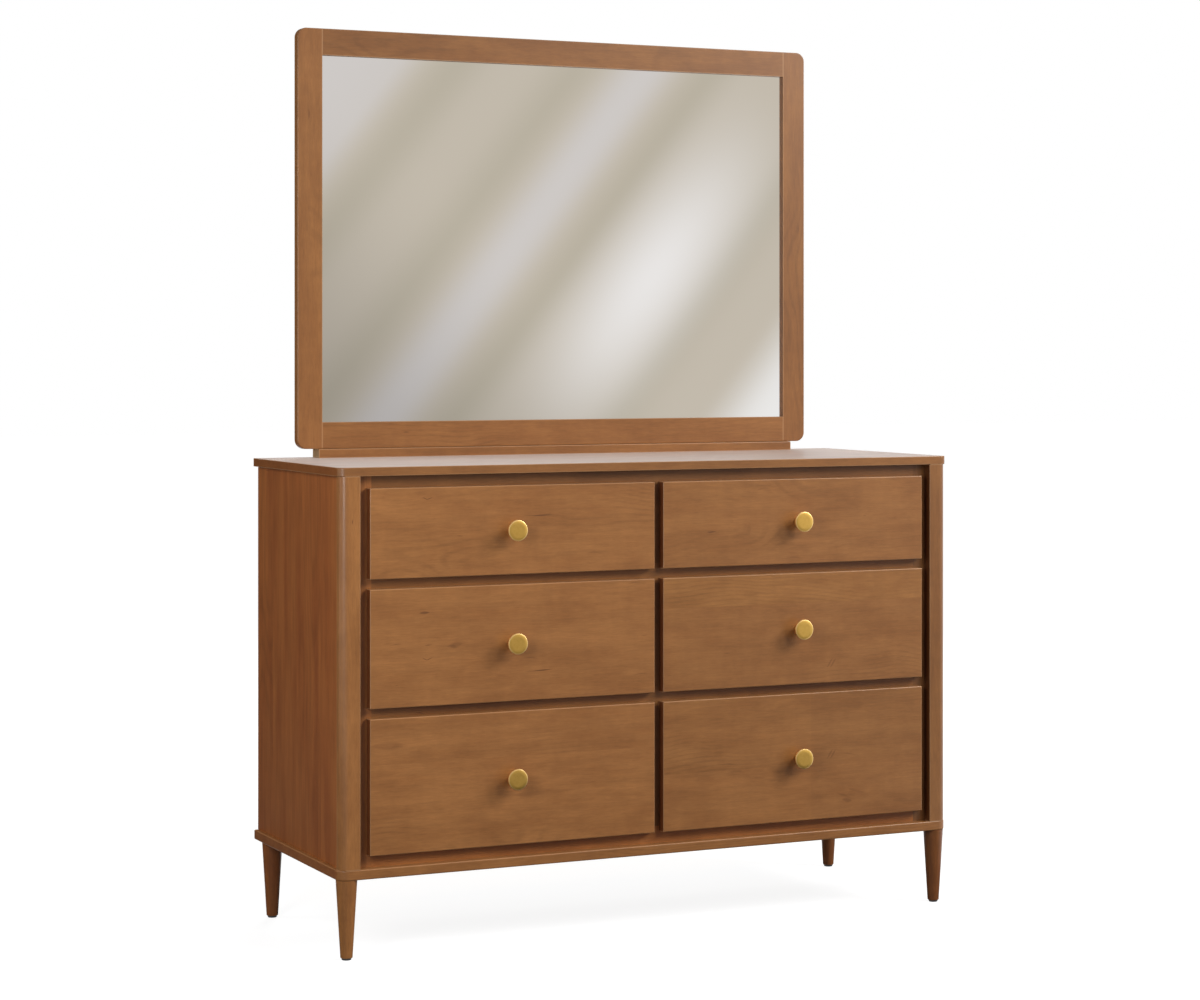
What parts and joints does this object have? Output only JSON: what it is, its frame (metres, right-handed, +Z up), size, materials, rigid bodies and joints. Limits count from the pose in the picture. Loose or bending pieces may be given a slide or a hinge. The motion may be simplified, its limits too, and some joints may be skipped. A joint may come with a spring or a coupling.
{
  "type": "dresser with mirror",
  "caption": "Low wooden dresser with drawers in two columns behind round knobs, on short tapered legs, with a framed mirror standing on its top.",
  "frame": {"origin": "on the floor, midway between the sides and midway between the knob faces and the back edge of the top", "axes": "+X to the right seen from the front, -Y to the front, where the drawers open, +Z up"},
  "size_m": [1.3208, 0.5276, 1.7801],
  "materials": {
    "stained_wood": "satin lacquer over stained maple",
    "drawer_box_wood": "clear satin lacquer over maple",
    "inner_wood": "sealed poplar",
    "back_plywood": "stained plywood",
    "satin_brass": "satin",
    "zinc_steel": "bright zinc plate",
    "mirror_glass": "silvered float glass",
    "glide_plastic": "matt"
  },
  "bodies": {
    "case": {"back_panel": "back_plywood", "base_slab": "stained_wood", "cabinet_slides": "zinc_steel", "case_screws": "zinc_steel", "centre_partition": "inner_wood", "foot_glides": "glide_plastic", "frame_rails": "stained_wood", "frame_stiles": "stained_wood", "front_post_left": "stained_wood", "front_post_right": "stained_wood", "leg_bolts": "zinc_steel", "leg_front_left": "stained_wood", "leg_front_right": "stained_wood", "leg_rear_left": "stained_wood", "leg_rear_right": "stained_wood", "mirror_backing": "back_plywood", "mirror_bottom_rail": "stained_wood", "mirror_braces": "inner_wood", "mirror_dowels": "inner_wood", "mirror_glass": "mirror_glass", "mirror_plinth": "stained_wood", "mirror_screws": "zinc_steel", "mirror_stile_left": "stained_wood", "mirror_stile_right": "stained_wood", "mirror_top_rail": "stained_wood", "rear_frame": "inner_wood", "side_panel_left": "stained_wood", "side_panel_right": "stained_wood", "slide_blocks": "inner_wood", "top_slab": "stained_wood"},
    "drawer_top_left": {"drawer_box_top_left": "drawer_box_wood", "drawer_fittings_top_left": "zinc_steel", "drawer_front_top_left": "stained_wood", "knob_top_left": "satin_brass"},
    "slide_middle_top_left": {"slide_middles_top_left": "zinc_steel"},
    "drawer_top_right": {"drawer_box_top_right": "drawer_box_wood", "drawer_fittings_top_right": "zinc_steel", "drawer_front_top_right": "stained_wood", "knob_top_right": "satin_brass"},
    "slide_middle_top_right": {"slide_middles_top_right": "zinc_steel"},
    "drawer_middle_left": {"drawer_box_middle_left": "drawer_box_wood", "drawer_fittings_middle_left": "zinc_steel", "drawer_front_middle_left": "stained_wood", "knob_middle_left": "satin_brass"},
    "slide_middle_middle_left": {"slide_middles_middle_left": "zinc_steel"},
    "drawer_middle_right": {"drawer_box_middle_right": "drawer_box_wood", "drawer_fittings_middle_right": "zinc_steel", "drawer_front_middle_right": "stained_wood", "knob_middle_right": "satin_brass"},
    "slide_middle_middle_right": {"slide_middles_middle_right": "zinc_steel"},
    "drawer_bottom_left": {"drawer_box_bottom_left": "drawer_box_wood", "drawer_fittings_bottom_left": "zinc_steel", "drawer_front_bottom_left": "stained_wood", "knob_bottom_left": "satin_brass"},
    "slide_middle_bottom_left": {"slide_middles_bottom_left": "zinc_steel"},
    "drawer_bottom_right": {"drawer_box_bottom_right": "drawer_box_wood", "drawer_fittings_bottom_right": "zinc_steel", "drawer_front_bottom_right": "stained_wood", "knob_bottom_right": "satin_brass"},
    "slide_middle_bottom_right": {"slide_middles_bottom_right": "zinc_steel"}
  },
  "joints": [
    {"name": "top_left_drawer_slide", "type": "slide", "parent": "case", "child": "drawer_top_left", "axis": [0, -1, 0], "range_m": [0, 0.43]},
    {"name": "top_left_middle_slide", "type": "slide", "parent": "case", "child": "slide_middle_top_left", "axis": [0, -1, 0], "range_m": [0, 0.215]},
    {"name": "top_right_drawer_slide", "type": "slide", "parent": "case", "child": "drawer_top_right", "axis": [0, -1, 0], "range_m": [0, 0.43]},
    {"name": "top_right_middle_slide", "type": "slide", "parent": "case", "child": "slide_middle_top_right", "axis": [0, -1, 0], "range_m": [0, 0.215]},
    {"name": "middle_left_drawer_slide", "type": "slide", "parent": "case", "child": "drawer_middle_left", "axis": [0, -1, 0], "range_m": [0, 0.43]},
    {"name": "middle_left_middle_slide", "type": "slide", "parent": "case", "child": "slide_middle_middle_left", "axis": [0, -1, 0], "range_m": [0, 0.215]},
    {"name": "middle_right_drawer_slide", "type": "slide", "parent": "case", "child": "drawer_middle_right", "axis": [0, -1, 0], "range_m": [0, 0.43]},
    {"name": "middle_right_middle_slide", "type": "slide", "parent": "case", "child": "slide_middle_middle_right", "axis": [0, -1, 0], "range_m": [0, 0.215]},
    {"name": "bottom_left_drawer_slide", "type": "slide", "parent": "case", "child": "drawer_bottom_left", "axis": [0, -1, 0], "range_m": [0, 0.43]},
    {"name": "bottom_left_middle_slide", "type": "slide", "parent": "case", "child": "slide_middle_bottom_left", "axis": [0, -1, 0], "range_m": [0, 0.215]},
    {"name": "bottom_right_drawer_slide", "type": "slide", "parent": "case", "child": "drawer_bottom_right", "axis": [0, -1, 0], "range_m": [0, 0.43]},
    {"name": "bottom_right_middle_slide", "type": "slide", "parent": "case", "child": "slide_middle_bottom_right", "axis": [0, -1, 0], "range_m": [0, 0.215]}
  ],
  "couplings": [
    {"joint": "top_left_middle_slide", "follows": "top_left_drawer_slide", "ratio": 0.5},
    {"joint": "top_right_middle_slide", "follows": "top_right_drawer_slide", "ratio": 0.5},
    {"joint": "middle_left_middle_slide", "follows": "middle_left_drawer_slide", "ratio": 0.5},
    {"joint": "middle_right_middle_slide", "follows": "middle_right_drawer_slide", "ratio": 0.5},
    {"joint": "bottom_left_middle_slide", "follows": "bottom_left_drawer_slide", "ratio": 0.5},
    {"joint": "bottom_right_middle_slide", "follows": "bottom_right_drawer_slide", "ratio": 0.5}
  ]
}
